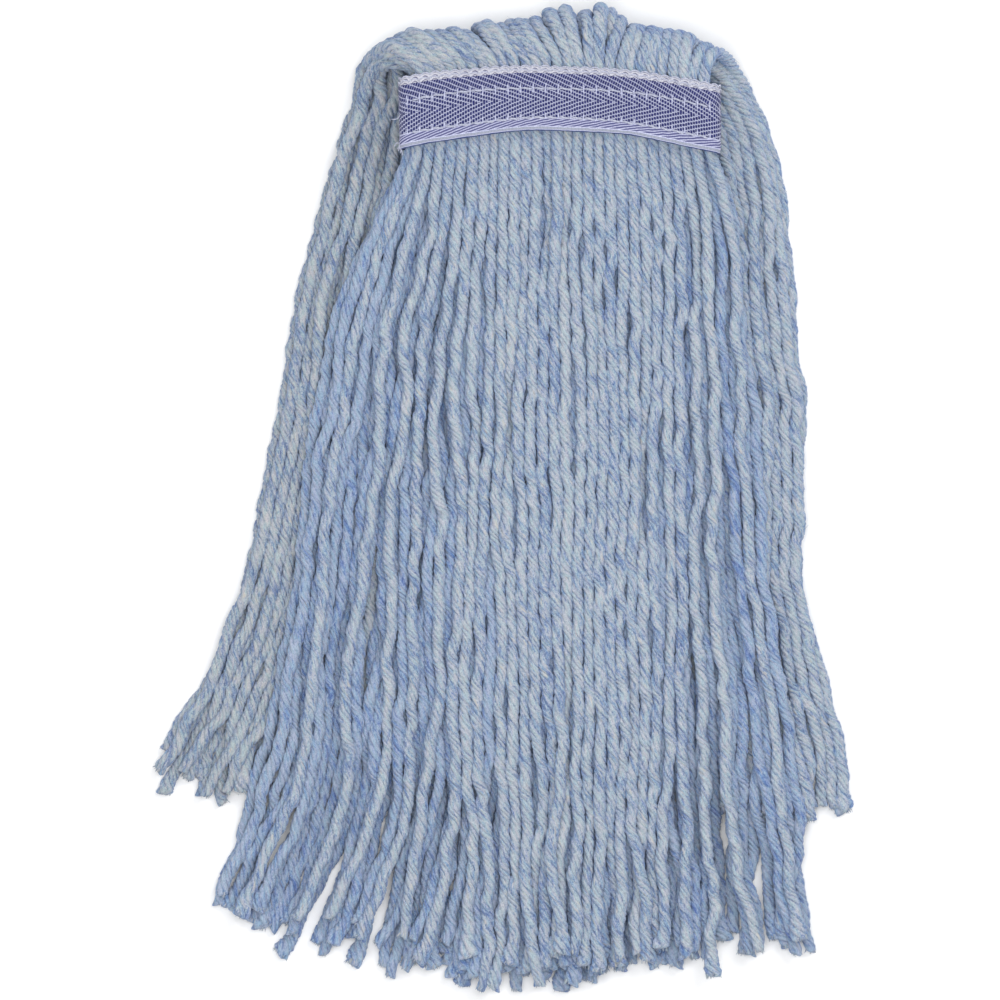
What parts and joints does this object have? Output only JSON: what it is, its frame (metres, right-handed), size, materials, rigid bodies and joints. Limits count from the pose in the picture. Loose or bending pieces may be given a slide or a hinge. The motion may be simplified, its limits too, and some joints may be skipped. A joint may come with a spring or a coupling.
{
  "type": "string mop head",
  "caption": "Cut-end wet mop head of plied blue-grey yarn, gathered and stitched into a narrow woven headband, folded in half over its crown and lying flat.",
  "frame": {"origin": "middle of the headband's flat front face, where a handle's clamp bears", "axes": "+X across the headband, +Y towards the crown, +Z out of the headband's front face"},
  "size_m": [0.3186, 0.4585, 0.046],
  "materials": {
    "mop_yarn": "matte",
    "headband_tape": "matte",
    "stitch_thread": "matte"
  },
  "bodies": {
    "headband": {"head_lock_1": "mop_yarn", "head_lock_2": "mop_yarn", "head_lock_3": "mop_yarn", "head_lock_4": "mop_yarn", "head_lock_5": "mop_yarn", "head_lock_6": "mop_yarn", "headband_tape": "headband_tape", "lower_stitches_back": "stitch_thread", "lower_stitches_front": "stitch_thread", "upper_stitches_back": "stitch_thread", "upper_stitches_front": "stitch_thread"},
    "front_yarn": {"front_top_lock_1": "mop_yarn", "front_top_lock_2": "mop_yarn", "front_top_lock_3": "mop_yarn", "front_top_lock_4": "mop_yarn", "front_top_lock_5": "mop_yarn", "front_top_lock_6": "mop_yarn", "front_top_lock_7": "mop_yarn", "front_under_lock_1": "mop_yarn", "front_under_lock_2": "mop_yarn", "front_under_lock_3": "mop_yarn", "front_under_lock_4": "mop_yarn", "front_under_lock_5": "mop_yarn", "front_under_lock_6": "mop_yarn"},
    "rear_yarn": {"rear_floor_lock_1": "mop_yarn", "rear_floor_lock_2": "mop_yarn", "rear_floor_lock_3": "mop_yarn", "rear_floor_lock_4": "mop_yarn", "rear_floor_lock_5": "mop_yarn", "rear_floor_lock_6": "mop_yarn", "rear_floor_lock_7": "mop_yarn", "rear_inner_lock_1": "mop_yarn", "rear_inner_lock_2": "mop_yarn", "rear_inner_lock_3": "mop_yarn", "rear_inner_lock_4": "mop_yarn", "rear_inner_lock_5": "mop_yarn", "rear_inner_lock_6": "mop_yarn"}
  },
  "joints": [
    {"name": "front_lift", "type": "hinge", "parent": "headband", "child": "front_yarn", "pos_m": [0, -0.026, 0], "axis": [-1, 0, 0], "range_deg": [0, 150]},
    {"name": "rear_unfold", "type": "hinge", "parent": "headband", "child": "rear_yarn", "pos_m": [0, 0.0446, -0.0232], "axis": [1, 0, 0], "range_deg": [0, 180]}
  ]
}
